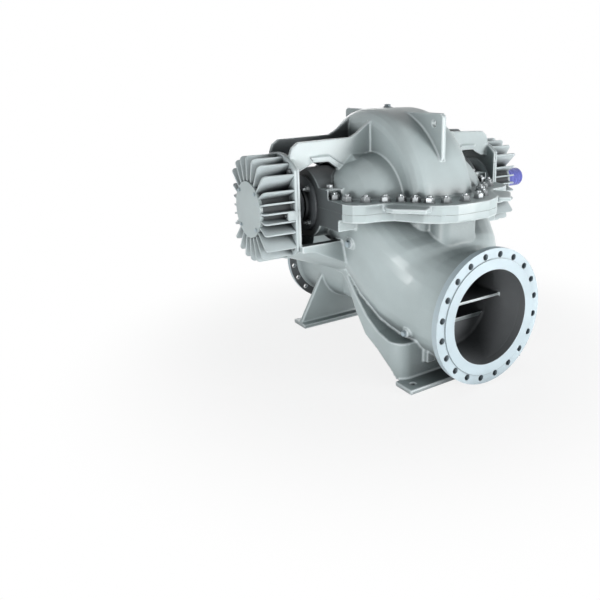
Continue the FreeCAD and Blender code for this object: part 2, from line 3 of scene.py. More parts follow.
import bmesh
import bpy
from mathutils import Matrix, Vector


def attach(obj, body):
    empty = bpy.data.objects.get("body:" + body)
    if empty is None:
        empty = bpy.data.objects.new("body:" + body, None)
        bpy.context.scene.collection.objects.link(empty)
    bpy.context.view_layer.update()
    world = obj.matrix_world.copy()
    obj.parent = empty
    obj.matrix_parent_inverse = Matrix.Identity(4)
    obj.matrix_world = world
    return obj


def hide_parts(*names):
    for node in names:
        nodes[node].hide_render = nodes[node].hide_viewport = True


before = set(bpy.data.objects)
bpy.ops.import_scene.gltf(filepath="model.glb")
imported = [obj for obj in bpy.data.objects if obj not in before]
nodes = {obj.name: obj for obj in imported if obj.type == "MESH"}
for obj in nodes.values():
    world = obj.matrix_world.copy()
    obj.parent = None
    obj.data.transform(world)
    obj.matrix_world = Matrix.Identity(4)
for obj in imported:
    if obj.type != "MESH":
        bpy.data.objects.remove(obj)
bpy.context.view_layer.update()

# %% [markdown]
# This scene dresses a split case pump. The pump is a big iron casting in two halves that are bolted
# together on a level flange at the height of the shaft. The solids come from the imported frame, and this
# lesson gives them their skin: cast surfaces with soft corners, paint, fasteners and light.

# %% [markdown]
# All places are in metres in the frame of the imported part. The shaft runs along X at a fixed height, the
# suction flange looks along -Y and the drive end is at +X. A gasket lies between the two joint faces.

# %% Main places and sizes
AXIS_Y = 0.135
AXIS_Z = 0.885
NOZZLE_Z = 0.370
SUCTION_BACK_Y = -0.708
DISCHARGE_BACK_Y = 0.802
SUCTION_BORE_R = 0.250
DISCHARGE_BORE_R = 0.225
LOWER_JOINT_Z = 0.884
UPPER_JOINT_Z = 0.885
NOZZLE_CENTRE = Vector((0.0, 0.0, NOZZLE_Z))
SHAFT_CENTRE = Vector((0.0, AXIS_Y, AXIS_Z))
print("shaft axis at", AXIS_Y, AXIS_Z)

# %% [markdown]
# Colours are written as the hex values that a paint chart gives. Blender wants linear light, so one
# function converts them. One more function adds a node: it gives each input either a fixed value or a link
# from another node, so a whole material reads as a list of nodes.

# %% Colour and node helpers
MATH, RANGE, MIX = "ShaderNodeMath", "ShaderNodeMapRange", "ShaderNodeMix"
COLOURS = {"data_type": "RGBA"}
# Numbers of a colour mix's sockets: share, the colour at 0, the colour at 1, and the result
SHARE, AT_NONE, AT_FULL, MIXED = 0, 6, 7, 2


def linear(hex_value):
    value = hex_value.lstrip("#")
    parts = [int(value[i:i + 2], 16) / 255.0 for i in (0, 2, 4)]
    out = [c / 12.92 if c <= 0.04045 else ((c + 0.055) / 1.055) ** 2.4 for c in parts]
    return (out[0], out[1], out[2], 1.0)


def add_node(tree, kind, inputs=None, **settings):
    # Adds one node, sets its properties, and gives each named input a value or a link.
    node = tree.nodes.new(kind)
    for name, value in settings.items():
        setattr(node, name, value)
    for name, given in (inputs or {}).items():
        if isinstance(given, bpy.types.NodeSocket):
            tree.links.new(given, node.inputs[name])
        else:
            node.inputs[name].default_value = given
    return node


def new_material(name):
    material = bpy.data.materials.new(name)
    material.use_nodes = True
    material.node_tree.nodes.clear()
    return material, material.node_tree


print("paint chart grey", [round(c, 3) for c in linear("#B9C6C6")])

# %% [markdown]
# The castings are sand cast iron under a satin two-coat enamel. Sand leaves a fine orange peel that the
# paint only partly fills, so the gloss breaks up. An Ambient Occlusion node finds the deep pockets and
# darkens them as painted shade. Corners and fillets get a painted highlight where they catch the light. On
# crisp pieces the angle between the rounded normal of a Bevel node and the true normal marks them, and on
# the soft skins an attribute named crease does. Both turn a little paler as a painted highlight, which is
# weaker in the painted shade.

# %% Painted cast iron
# Cloudy differences in the coat, about 285 mm across
CLOUDS_PER_METRE = 3.5
CLOUD_FROM, CLOUD_FULL, CLOUD_MOST = 0.35, 0.65, 0.12
# The swell of the mould is this many times as long as a grain, and this many times as high
SWELL_LENGTH = 9.0
SWELL_HEIGHT = 2.0
# Cosine between both normals where the painted edge highlight starts and where it is full, and how pale it
# gets
HIGHLIGHT_FROM, HIGHLIGHT_FULL, HIGHLIGHT_MOST = 0.97, 0.80, 0.75
# Turn of a soft edge, in radians, where its painted highlight line starts and where it is full
CREASE_HIGHLIGHT_FROM, CREASE_HIGHLIGHT_FULL, CREASE_HIGHLIGHT_MOST = 0.13, 0.30, 0.70
# Share of the painted edge highlight that is left in full painted shade
HIGHLIGHT_IN_SHADE = 0.35
ENAMEL_IOR = 1.5
# How much glossier and duller than its mean the finish gets from grain to grain
MORE_GLOSS, LESS_GLOSS = 0.05, 0.07
# A noise hardly leaves the middle of its range
NOISE_BAND = {"From Min": 0.3, "From Max": 0.7}


def painted_iron(name, paint_hex, cloud_and_shade_hex, highlight_hex, rough, edge_mm, grain_mm, relief_mm, painted_shade_ramp):
    # painted_shade_ramp: how far off, in metres, a wall still darkens a pocket with painted shade, and
    # between which shares of open air that painted shade runs from full to none.
    shade_reach, shade_full, shade_none = painted_shade_ramp
    material, tree = new_material(name)
    place = add_node(tree, "ShaderNodeTexCoord").outputs["Object"]
    clouds = add_node(tree, "ShaderNodeTexNoise",
                      {"Vector": place, "Scale": CLOUDS_PER_METRE, "Detail": 3.0})
    sand = add_node(tree, "ShaderNodeTexNoise",
                    {"Vector": place, "Scale": 1000.0 / grain_mm, "Detail": 2.0})
    swell = add_node(tree, "ShaderNodeTexNoise",
                     {"Vector": place, "Scale": 1000.0 / (grain_mm * SWELL_LENGTH)})
    relief = add_node(tree, MATH, {0: swell.outputs["Fac"], 1: SWELL_HEIGHT, 2: sand.outputs["Fac"]},
                      operation="MULTIPLY_ADD")
    # Painted highlight: corners and creases turn paler, less so in the painted shade
    corner = add_node(tree, "ShaderNodeBevel", {"Radius": edge_mm / 1000.0}, samples=4)
    true_normal = add_node(tree, "ShaderNodeNewGeometry").outputs["Normal"]
    turn = add_node(tree, "ShaderNodeVectorMath", {0: corner.outputs["Normal"], 1: true_normal},
                    operation="DOT_PRODUCT")
    bevel_highlight = add_node(tree, RANGE, {"Value": turn.outputs["Value"], "From Min": HIGHLIGHT_FROM,
                                    "From Max": HIGHLIGHT_FULL, "To Max": HIGHLIGHT_MOST})
    crease = add_node(tree, "ShaderNodeAttribute", attribute_name="crease")
    crease_highlight = add_node(tree, RANGE, {"Value": crease.outputs["Fac"], "From Min": CREASE_HIGHLIGHT_FROM,
                                  "From Max": CREASE_HIGHLIGHT_FULL, "To Max": CREASE_HIGHLIGHT_MOST})
    painted_highlight = add_node(tree, MATH, {0: bevel_highlight.outputs["Result"], 1: crease_highlight.outputs["Result"]},
                    operation="MAXIMUM")
    # Painted shade: the coat darkens towards the shade colour where walls close in
    open_air = add_node(tree, "ShaderNodeAmbientOcclusion", {"Distance": shade_reach}, samples=8)
    out_of_shade = add_node(tree, RANGE,
                       {"Value": open_air.outputs["AO"], "From Min": shade_full, "From Max": shade_none})
    highlight_share = add_node(tree, RANGE, {"Value": out_of_shade.outputs["Result"], "To Min": HIGHLIGHT_IN_SHADE})
    highlight_out_of_shade = add_node(tree, MATH, {0: painted_highlight.outputs[0], 1: highlight_share.outputs["Result"]},
                         operation="MULTIPLY")
    tone = add_node(tree, RANGE, {"Value": clouds.outputs["Fac"], "From Min": CLOUD_FROM,
                                  "From Max": CLOUD_FULL, "To Max": CLOUD_MOST})
    coat = add_node(tree, MIX, {SHARE: tone.outputs["Result"], AT_NONE: linear(paint_hex),
                                AT_FULL: linear(cloud_and_shade_hex)}, **COLOURS)
    shaded_coat = add_node(tree, MIX, {SHARE: out_of_shade.outputs["Result"], AT_NONE: linear(cloud_and_shade_hex),
                                 AT_FULL: coat.outputs[MIXED]}, **COLOURS)
    colour = add_node(tree, MIX, {SHARE: highlight_out_of_shade.outputs[0], AT_NONE: shaded_coat.outputs[MIXED],
                                  AT_FULL: linear(highlight_hex)}, **COLOURS)
    bump = add_node(tree, "ShaderNodeBump", {"Height": relief.outputs[0],
                                             "Normal": corner.outputs["Normal"], "Strength": 1.0,
                                             "Distance": relief_mm / 1000.0})
    gloss = add_node(tree, RANGE, {"Value": sand.outputs["Fac"], "To Min": rough - MORE_GLOSS,
                                   "To Max": rough + LESS_GLOSS, **NOISE_BAND})
    shader = add_node(tree, "ShaderNodeBsdfPrincipled",
                      {"Base Color": colour.outputs[MIXED], "Roughness": gloss.outputs["Result"],
                       "Normal": bump.outputs["Normal"], "IOR": ENAMEL_IOR, "Metallic": 0.0})
    add_node(tree, "ShaderNodeOutputMaterial", {"Surface": shader.outputs["BSDF"]})
    return material


# Moulding sand is finer than half a millimetre. The grain is drawn coarser, so that it shows at all.
# Satin enamel: wide, soft highlights and dark painted shade in the hollows.
casting_enamel = painted_iron("satin_enamel_on_cast_iron", "#C6D3D4", "#353B3D", "#E8F0F2", rough=0.34,
                              edge_mm=5.0, grain_mm=2.4, relief_mm=0.20, painted_shade_ramp=(0.26, 0.10, 0.93))
# The same enamel on the thin fins, where painted shade darkens only the narrow gaps.
fin_enamel = painted_iron("satin_enamel_on_fins", "#CBD6D8", "#34393C", "#EAF2F3", rough=0.40,
                          edge_mm=3.0, grain_mm=2.4, relief_mm=0.15, painted_shade_ramp=(0.09, 0.12, 0.75))
# Primer for water ways: dull and dark, without pale edges, with painted shade deep inside.
inner_primer = painted_iron("dark_primer_inside_casting", "#686B6D", "#34373A", "#626567", rough=0.60,
                            edge_mm=5.0, grain_mm=2.4, relief_mm=0.30, painted_shade_ramp=(0.45, 0.00, 0.50))
# Dark grey as painted shade between the brackets and round the fin roots, nearly black in the hollows.
painted_shade_grey = painted_iron("painted_shade_between_brackets", "#5E6466", "#202324", "#8C9496", rough=0.55,
                           edge_mm=5.0, grain_mm=2.4, relief_mm=0.30, painted_shade_ramp=(0.16, 0.25, 0.85))
# One thin coat over a turned face: smoother and a little bluer.
machined_enamel = painted_iron("thin_enamel_on_machined_face", "#C6D6DD", "#59636A", "#E4EEF2", rough=0.36,
                               edge_mm=2.0, grain_mm=5.0, relief_mm=0.05, painted_shade_ramp=(0.16, 0.25, 0.85))
print("enamels", casting_enamel.name, inner_primer.name, machined_enamel.name)

# %% [markdown]
# Steel parts come in three finishes: zinc plated bolts, ground shaft steel, and the blue strippable
# lacquer that protects the shaft end in transport. Turning leaves fine lines that run round the part, so
# their noise changes fast along X and slowly across it. The gland, the gasket and the impeller use the
# same nodes with other values.

# %% Steel finishes
PATCHES_PER_METRE = 12.0
DARK_TONE, PALE_TONE = 0.88, 1.08
# Near black painted shade in the hollows round a steel part, and how far and how strongly it reaches
STEEL_PAINTED_SHADE = "#1C1E20"
STEEL_SHADE_REACH, STEEL_SHADE_FULL, STEEL_SHADE_NONE = 0.05, 0.2, 0.8
LINE_RELIEF_M, LINE_STRENGTH = 0.0001, 0.4


def steel(name, main_hex, rough, metallic, lines_per_metre, edge_mm):
    material, tree = new_material(name)
    place = add_node(tree, "ShaderNodeTexCoord").outputs["Object"]
    spread = add_node(tree, "ShaderNodeMapping",
                      {"Vector": place, "Scale": (lines_per_metre, PATCHES_PER_METRE, PATCHES_PER_METRE)})
    noise = add_node(tree, "ShaderNodeTexNoise",
                     {"Vector": spread.outputs["Vector"], "Scale": 1.0, "Detail": 3.0})
    red, green, blue, full = linear(main_hex)
    tone = add_node(tree, MIX, {SHARE: noise.outputs["Fac"],
                                AT_NONE: (red * DARK_TONE, green * DARK_TONE, blue * DARK_TONE, full),
                                AT_FULL: (red * PALE_TONE, green * PALE_TONE, blue * PALE_TONE, full)},
                    **COLOURS)
    # Painted shade: the steel darkens towards that near black where walls close in
    open_air = add_node(tree, "ShaderNodeAmbientOcclusion", {"Distance": STEEL_SHADE_REACH}, samples=8)
    out_of_shade = add_node(tree, RANGE, {"Value": open_air.outputs["AO"], "From Min": STEEL_SHADE_FULL,
                                     "From Max": STEEL_SHADE_NONE}, interpolation_type="SMOOTHSTEP")
    colour = add_node(tree, MIX, {SHARE: out_of_shade.outputs["Result"], AT_NONE: linear(STEEL_PAINTED_SHADE),
                                  AT_FULL: tone.outputs[MIXED]}, **COLOURS)
    gloss = add_node(tree, RANGE, {"Value": noise.outputs["Fac"], "To Min": rough - 0.06,
                                   "To Max": rough + 0.08, **NOISE_BAND})
    corner = add_node(tree, "ShaderNodeBevel", {"Radius": edge_mm / 1000.0}, samples=4)
    bump = add_node(tree, "ShaderNodeBump", {"Height": noise.outputs["Fac"],
                                             "Normal": corner.outputs["Normal"],
                                             "Strength": LINE_STRENGTH, "Distance": LINE_RELIEF_M})
    shader = add_node(tree, "ShaderNodeBsdfPrincipled",
                      {"Base Color": colour.outputs[MIXED], "Roughness": gloss.outputs["Result"],
                       "Normal": bump.outputs["Normal"], "Metallic": metallic})
    add_node(tree, "ShaderNodeOutputMaterial", {"Surface": shader.outputs["BSDF"]})
    return material


bolt_zinc = steel("zinc_plated_bolt_steel", "#A3A8AA", 0.34, metallic=0.6, lines_per_metre=30.0, edge_mm=2.0)
ground_steel = steel("ground_shaft_steel", "#8C9094", 0.3, metallic=1.0, lines_per_metre=400.0, edge_mm=2.0)
shaft_lacquer = steel("blue_shaft_lacquer", "#6A6FC2", 0.26, metallic=0.2, lines_per_metre=90.0, edge_mm=3.0)
gland_steel = steel("dark_gland_iron", "#53575A", 0.45, metallic=0.3, lines_per_metre=60.0, edge_mm=3.0)
gasket_fibre = steel("compressed_fibre_gasket", "#33383A", 0.8, metallic=0.0, lines_per_metre=200.0,
                     edge_mm=0.3)
bronze = steel("cast_gunmetal", "#8A6A3E", 0.4, metallic=1.0, lines_per_metre=60.0, edge_mm=2.0)
print("steels", [m.name for m in (bolt_zinc, ground_steel, shaft_lacquer, gland_steel)])

# %% [markdown]
# Each new piece is built as loose mesh data first. The frame's meshes are loose triangles, so a copy with
# its doubles merged is the start. A closed ring can be swept from a profile, and a closed box or plate set
# anywhere. Which way their faces turn doesn't matter yet, because the finished mesh gets its normals
# recalculated.

# %% Mesh helpers
SAME_POINT = 0.00001


def merged(node):
    work = bmesh.new()
    work.from_mesh(nodes[node].data)
    bmesh.ops.remove_doubles(work, verts=work.verts, dist=SAME_POINT)
    return work


def add_ring(work, profile, axis, centre, steps=96, flat=None):
    # Sweeps a closed profile of (place along the axis, radius) once round the axis. With flat, the ring
    # has two flat sides at that distance from the axis.
    rings = []
    for i in range(steps):
        a = 2.0 * math.pi * i / steps
        ring = []
        for along, r in profile:
            if flat:
                r = min(r, flat / max(abs(math.cos(a)), 0.01))
            side, up = r * math.cos(a), r * math.sin(a)
            place = Vector((along, side, up)) if axis == "X" else Vector((side, along, up))
            ring.append(work.verts.new(place + centre))
        rings.append(ring)
    count = len(profile)
    for i in range(steps):
        one, two = rings[i], rings[(i + 1) % steps]
        for j in range(count):
            k = (j + 1) % count
            work.faces.new((one[j], one[k], two[k], two[j]))


def add_box(work, xs, ys, zs):
    corners = [work.verts.new((x, y, z)) for x in sorted(xs) for y in sorted(ys) for z in sorted(zs)]
    for side in ((0, 1, 3, 2), (4, 6, 7, 5), (0, 4, 5, 1), (2, 3, 7, 6), (0, 2, 6, 4), (1, 5, 7, 3)):
        work.faces.new([corners[i] for i in side])


def add_cheek(work, outline, ys):
    # Upright plate of even thickness across Y, from an outline of (x, z).
    sides = [[work.verts.new((x, y, z)) for x, z in outline] for y in sorted(ys)]
    for side in sides:
        work.faces.new(side)
    for i in range(len(outline)):
        j = (i + 1) % len(outline)
        work.faces.new((sides[0][i], sides[0][j], sides[1][j], sides[1][i]))


print("shapes that can be added: ring, box and cheek")

# %% [markdown]
# The solids are cut in two ways. A pipe flange is cut off at its back, and the cut is closed round the
# bore. A joint face is first made to stand proud, and once the skin is soft it is milled flat, because a
# real joint face is machined too and keeps its crisp edge.

# %% Cuts and joint faces
BEVELLED_SHARP_DEG = 50.0


def slice_at(work, place, across, keep_beyond):
    # Cuts at a plane, keeps one side of it and gives the edges of the cut.
    whole = work.verts[:] + work.edges[:] + work.faces[:]
    done = bmesh.ops.bisect_plane(work, geom=whole, plane_co=place, plane_no=across,
                                  clear_inner=keep_beyond, clear_outer=not keep_beyond)
    return [part for part in done["geom_cut"] if isinstance(part, bmesh.types.BMEdge)]


def cut_off(work, y, keep_beyond, bore):
    # Cuts at a plane across Y and closes the cut, but not the bore in its middle.
    rim = slice_at(work, (0, y, 0), (0, 1, 0), keep_beyond)
    filled = bmesh.ops.triangle_fill(work, use_beauty=True, edges=rim)
    faces = [part for part in filled["geom"] if isinstance(part, bmesh.types.BMFace)]
    lid = [f for f in faces if all(math.hypot(v.co.x, v.co.z - NOZZLE_Z) < bore + 0.001 for v in f.verts)]
    bmesh.ops.delete(work, geom=lid, context="FACES_ONLY")


def grow_joint(work, z, face_up, depth):
    # Carries the joint face past its plane, so that the melted corner lies beyond it and is milled off
    # later. face_up is 1 or -1.
    level = [f for f in work.faces if abs(f.calc_center_median().z - z) < 0.0002]
    joint = [f for f in level if f.normal.z * face_up > 0.9]
    raised = bmesh.ops.extrude_face_region(work, geom=joint)
    moved = [part for part in raised["geom"] if isinstance(part, bmesh.types.BMVert)]
    bmesh.ops.translate(work, vec=(0, 0, face_up * depth), verts=moved)
    bmesh.ops.delete(work, geom=joint, context="FACES")


def mill_joint(skin, z, keep_above):
    # Cuts a finished skin at its joint plane and closes the cut with flat faces.
    work = bmesh.new()
    work.from_mesh(skin.data)
    rim = slice_at(work, (0, 0, z), (0, 0, 1), keep_above)
    bmesh.ops.triangle_fill(work, use_beauty=False, edges=rim)
    work.to_mesh(skin.data)
    work.free()
    skin.data.set_sharp_from_angle(angle=math.radians(BEVELLED_SHARP_DEG))
    print(skin.name, "milled at", z, "rim edges", len(rim))


print("edges stay sharp from", BEVELLED_SHARP_DEG, "degrees")

# %% [markdown]
# A finished mesh becomes an object. Its modifiers are baked in, so that it is a plain mesh with its place
# in its own points. Then it rides on a body and stands in for its node.

# %% From mesh to piece
def into_scene(name, data):
    made = bpy.data.objects.new(name, data)
    bpy.context.scene.collection.objects.link(made)
    return made


def to_object(work, name):
    bmesh.ops.recalc_face_normals(work, faces=work.faces)
    mesh = bpy.data.meshes.new(name)
    work.to_mesh(mesh)
    work.free()
    return into_scene(name, mesh)


def settle(made):
    # Bakes the modifiers into a plain mesh and takes them off.
    ready = made.evaluated_get(bpy.context.evaluated_depsgraph_get())
    mesh = bpy.data.meshes.new_from_object(ready)
    made.modifiers.clear()
    old = made.data
    made.data = mesh
    bpy.data.meshes.remove(old)
    return mesh


def triangles(mesh):
    return sum(len(face.vertices) - 2 for face in mesh.polygons)


def hand_over(made, body, slot, *replaced):
    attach(made, body)
    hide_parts(*replaced)
    print(made.name, "triangles", triangles(made.data))


print("triangles in the packed upper casing", triangles(nodes["upper_casing"].data))

# %% [markdown]
# Every rib and corner of the casting gets a thin pale line, a painted highlight where the edge catches the
# light. A Bevel node could find those edges in the render, but on a soft skin it sees none, so Geometry Nodes
# measure how sharply the surface turns at each point and store it as an attribute that the paint reads.

# %% Crease lines
def new_tree(name, inputs):
    # Starts a Geometry Nodes tree with its named inputs, and gives the outputs of its input node.
    tree = bpy.data.node_groups.new(name, "GeometryNodeTree")
    for label, kind in [("Geometry", "Geometry")] + inputs:
        tree.interface.new_socket(label, in_out="INPUT", socket_type="NodeSocket" + kind)
    tree.interface.new_socket("Geometry", in_out="OUTPUT", socket_type="NodeSocketGeometry")
    return tree, add_node(tree, "NodeGroupInput").outputs


def use_tree(made, label, tree, values):
    # A modifier knows its inputs by the identifier of the socket.
    modifier = made.modifiers.new(label, "NODES")
    modifier.node_group = tree
    for item in tree.interface.items_tree:
        if item.in_out == "INPUT" and item.name in values:
            modifier[item.identifier] = values[item.name]


def crease_tree(name):
    # Stores how sharply the surface turns at each point, spread a little to its neighbours.
    tree, given = new_tree(name, [("Spread", "Int")])
    angle = add_node(tree, "GeometryNodeInputMeshEdgeAngle")
    spread = add_node(tree, "GeometryNodeBlurAttribute",
                      {"Value": angle.outputs["Unsigned Angle"], "Iterations": given["Spread"]},
                      data_type="FLOAT")
    store = add_node(tree, "GeometryNodeStoreNamedAttribute",
                     {"Name": "crease", "Geometry": given["Geometry"], "Value": spread.outputs["Value"]},
                     data_type="FLOAT", domain="POINT")
    add_node(tree, "NodeGroupOutput", {"Geometry": store.outputs["Geometry"]})
    return tree


crease_lines = crease_tree("crease_lines")
print("crease tree nodes", len(crease_lines.nodes))

# %% [markdown]
# A sand casting has no sharp corner: the pattern maker puts a radius on each edge and a fillet in each
# inner corner, so that the iron flows and doesn't crack. A voxel remesh melts the solids into one skin,
# some rounds of smoothing give the radii, and a decimate takes out what flat places don't need. A bevel on
# each edge could do it too, but it breaks where curved walls meet.

# %% Cast skins
def cast_skin(work, name, voxel_mm, rounds, most):
    skin = to_object(work, name)
    mould = skin.modifiers.new("sand_mould", "REMESH")
    mould.mode = "VOXEL"
    mould.voxel_size = voxel_mm / 1000.0
    mould.use_smooth_shade = True
    soften = skin.modifiers.new("pattern_radius", "SMOOTH")
    soften.factor = 0.5
    soften.iterations = rounds
    use_tree(skin, "creases", crease_lines, {"Spread": 1})
    full = triangles(settle(skin))
    if full > most:
        thin = skin.modifiers.new("fewer_faces", "DECIMATE")
        thin.ratio = most / full
        settle(skin)
    skin.data.shade_smooth()
    print(name, "from", full, "to", triangles(skin.data))
    return skin


def paint(skin, materials, pick):
    skin.data.materials.clear()
    for material in materials:
        skin.data.materials.append(material)
    if len(materials) > 1:
        for face in skin.data.polygons:
            face.material_index = pick(face.center, face.normal)


print("cast skins are voxel remeshed, smoothed and thinned")

# %% [markdown]
# The water ways are dark inside. They follow three straight runs on the suction side and two on the
# discharge side, so a face belongs to them when its middle lies within the radius of one of the runs. Near
# the wall it must also look at the middle of the run, or the outside would turn dark as well. Round the
# shaft come the two inlets and the volute.

# %% Where the water runs
# Each run: start and end as (y, z), then the radius at its start and at its end
WATER_RUNS = [
    ((-0.760, NOZZLE_Z), (-0.465, NOZZLE_Z), SUCTION_BORE_R, SUCTION_BORE_R),
    ((-0.525, 0.350), (-0.265, 0.560), SUCTION_BORE_R, SUCTION_BORE_R),
    ((-0.345, 0.420), (-0.065, 0.860), SUCTION_BORE_R, SUCTION_BORE_R),
    ((0.195, 0.405), (0.615, NOZZLE_Z), 0.135, 0.220),
    ((0.565, NOZZLE_Z), (0.850, NOZZLE_Z), DISCHARGE_BORE_R, DISCHARGE_BORE_R),
]
WELL_INSIDE, PAST_WALL = 0.020, 0.012
# Share of its distance up to which a face still counts as looking at a run's middle, or at the shaft
LOOKS_AT_RUN, LOOKS_AT_SHAFT = 0.3, 0.2
# The inlets are wide at the middle and get narrower from a certain place on
INLET_HALF_X, INLET_R, INLET_TAPER, INLET_TAPER_X = 0.388, 0.266, 0.73, 0.33
VOLUTE_HALF_X, VOLUTE_R = 0.125, 0.450
# The top of the discharge duct lies within reach of the volute, but outside it: those faces look up
DUCT_FROM_Y, DUCT_FROM_Z = 0.450, 0.550


def in_water_way(c, n):
    for (y0, z0), (y1, z1), r0, r1 in WATER_RUNS:
        start = Vector((0.0, y0, z0))
        way = Vector((0.0, y1, z1)) - start
        share = (c - start).dot(way) / way.length_squared
        off_axis = c - start - way * share
        depth = r0 + (r1 - r0) * share - off_axis.length
        faces_axis = off_axis.dot(n) < LOOKS_AT_RUN * off_axis.length
        if 0.0 <= share <= 1.0 and (depth > WELL_INSIDE or (depth > -PAST_WALL and faces_axis)):
            return True
    y = c.y - AXIS_Y
    from_shaft = math.hypot(y, c.z - AXIS_Z)
    inlet_r = INLET_R - INLET_TAPER * max(0.0, abs(c.x) - INLET_TAPER_X)
    if abs(c.x) < INLET_HALF_X and from_shaft < inlet_r:
        return True
    faces_shaft = n.y * y + n.z * (c.z - AXIS_Z) < LOOKS_AT_SHAFT * from_shaft
    on_duct = c.y > DUCT_FROM_Y and c.z > DUCT_FROM_Z and n.z > 0.5 and n.y > -0.3
    return abs(c.x) < VOLUTE_HALF_X and from_shaft < VOLUTE_R and faces_shaft and not on_duct


print("runs of water", len(WATER_RUNS))

# %% [markdown]
# Little light gets in between a bearing bracket and the casing, so the end face of the casing, the ring
# round the seal, the inner sides of the arms and the trough under the seal get a dark grey as painted shade.

# %% Where the painted shade goes
END_FACE_X, END_FACE_HALF_Y, END_FACE_FROM_Z = (0.548, 0.600), 0.360, 0.660
SEAL_RING_X, SEAL_RING_R, SEAL_RING_FROM_Z = (0.340, 0.600), 0.205, 0.980
ARM_FROM_X, ARM_HALF_Y, ARM_FROM_Z = 0.180, 0.100, 1.040
TROUGH_X, TROUGH_R, TROUGH_TO_Z = (0.400, 0.690), 0.375, 0.720


def shade_between_brackets(c, n):
    out = abs(c.x)
    y = c.y - AXIS_Y
    from_shaft = math.hypot(y, c.z - AXIS_Z)
    faces_end = n.x * (1.0 if c.x > 0 else -1.0) > 0.6
    to_shaft = -(n.y * y + n.z * (c.z - AXIS_Z)) / max(from_shaft, 0.001)
    if END_FACE_X[0] < out < END_FACE_X[1] and faces_end and abs(y) < END_FACE_HALF_Y:
        if c.z > END_FACE_FROM_Z:
            return True
    if SEAL_RING_X[0] < out < SEAL_RING_X[1] and from_shaft < SEAL_RING_R and c.z > SEAL_RING_FROM_Z:
        return True
    if out > ARM_FROM_X and abs(y) < ARM_HALF_Y and c.z > ARM_FROM_Z:
        if abs(n.y) > 0.5 and n.y * y < 0:
            return True
    return TROUGH_X[0] < out < TROUGH_X[1] and from_shaft < TROUGH_R and to_shaft > 0.35 and c.z < TROUGH_TO_Z


print("primer between brackets at", shade_between_brackets(Vector((-0.57, AXIS_Y, 0.9)), Vector((-1, 0, 0))))

# %% [markdown]
# The lower casing is one casting with both pipe flanges. The flanges are turned after casting, so they are
# cut off the copy and stay crisp, and the rest becomes a soft skin. A sloped collar that is melted in with
# it makes the fillet behind each flange. Four cheeks close the gap beside each trough, which the photograph
# shows closed.

# %% Lower casing
JOINT_DEPTH = 0.016
# Outline of each collar: how far from the back of the flange into the casing, and how far out of the bore
SUCTION_COLLAR = [(0.032, 0.035), (0.008, 0.041), (0.001, 0.054), (-0.014, 0.054), (-0.014, 0.004),
                  (0.032, 0.004)]
DISCHARGE_COLLAR = [(0.032, 0.025), (0.008, 0.032), (0.001, 0.047), (-0.012, 0.047), (-0.012, 0.004),
                    (0.032, 0.004)]
# Outline of a cheek as (distance from the middle of the pump, z)
CHEEK = [(0.575, 0.672), (0.575, 0.655), (0.400, 0.572), (0.390, 0.672)]
TROUGH_HALF_Y = 0.195
CHEEK_THICK = 0.019
RIB_Z, RIB_HALF, RIB_TO_Y = 0.394, 0.010, -0.560

work = merged("lower_casing")
cut_off(work, SUCTION_BACK_Y + 0.001, True, SUCTION_BORE_R)
cut_off(work, DISCHARGE_BACK_Y - 0.001, False, DISCHARGE_BORE_R)
grow_joint(work, LOWER_JOINT_Z, 1, JOINT_DEPTH)
collar = [(SUCTION_BACK_Y + into, SUCTION_BORE_R + out) for into, out in SUCTION_COLLAR]
add_ring(work, collar, "Y", NOZZLE_CENTRE)
collar = [(DISCHARGE_BACK_Y - into, DISCHARGE_BORE_R + out) for into, out in DISCHARGE_COLLAR]
add_ring(work, collar, "Y", NOZZLE_CENTRE)
for end in (-1, 1):
    for side in (-1, 1):
        inner = AXIS_Y + side * TROUGH_HALF_Y
        add_cheek(work, [(end * x, z) for x, z in CHEEK], (inner, inner + side * CHEEK_THICK))
lower_skin = cast_skin(work, "lower_casing_skin", voxel_mm=6.0, rounds=3, most=185000)
mill_joint(lower_skin, LOWER_JOINT_Z, False)


def lower_zone(c, n):
    # 0 outside, 1 water way, 2 painted shade between the brackets, 3 painted highlight on the front edge of
    # the splitter rib
    if in_water_way(c, n):
        rib_highlight = abs(c.z - RIB_Z) < RIB_HALF and c.y < RIB_TO_Y and n.y < -0.5
        return 3 if rib_highlight else 1
    return 2 if shade_between_brackets(c, n) else 0


paint(lower_skin, [casting_enamel, inner_primer, painted_shade_grey, fin_enamel], lower_zone)
hand_over(lower_skin, "pump", "painted_casting", "lower_casing")

# %% [markdown]
# The turned flanges keep the exact bolt holes of the solid. Their faces stay flat, and only the rims and
# holes are shaded smooth. The bore shows the inner primer, and the cut behind the discharge flange gets it
# as painted shade.

# %% Pipe flanges
def flange_piece(name, y, keep_beyond, bore):
    work = merged("lower_casing")
    cut_off(work, y, keep_beyond, bore)
    ring = to_object(work, name)
    ring.data.shade_smooth()
    ring.data.set_sharp_from_angle(angle=math.radians(35.0))
    for face in ring.data.polygons:
        face.use_smooth = abs(face.normal.y) < 0.9

    def zone(c, n):
        in_bore = math.hypot(c.x, c.z - NOZZLE_Z) < bore + 0.0005
        # The cut behind the discharge flange is dark as painted shade
        shaded_back_cut = keep_beyond and abs(c.y - y) < 0.0006
        return 1 if in_bore or shaded_back_cut else 0

    paint(ring, [machined_enamel, inner_primer], zone)
    hand_over(ring, "pump", "painted_casting", "lower_casing")


flange_piece("suction_flange_face", SUCTION_BACK_Y, False, SUCTION_BORE_R)
flange_piece("discharge_flange_face", DISCHARGE_BACK_Y, True, DISCHARGE_BORE_R)

# %% [markdown]
# The upper casing is hollow on the real pump, but nothing opens it, so lids close its water space and the
# skin only needs its outer side.

# %% Upper casing
LID_TOP_Z = 0.905
# Each lid: half its length along X, and its ends along Y
LIDS = [(0.485, (-0.300, 0.385)), (0.150, (-0.430, 0.600)), (0.557, (0.015, 0.255))]
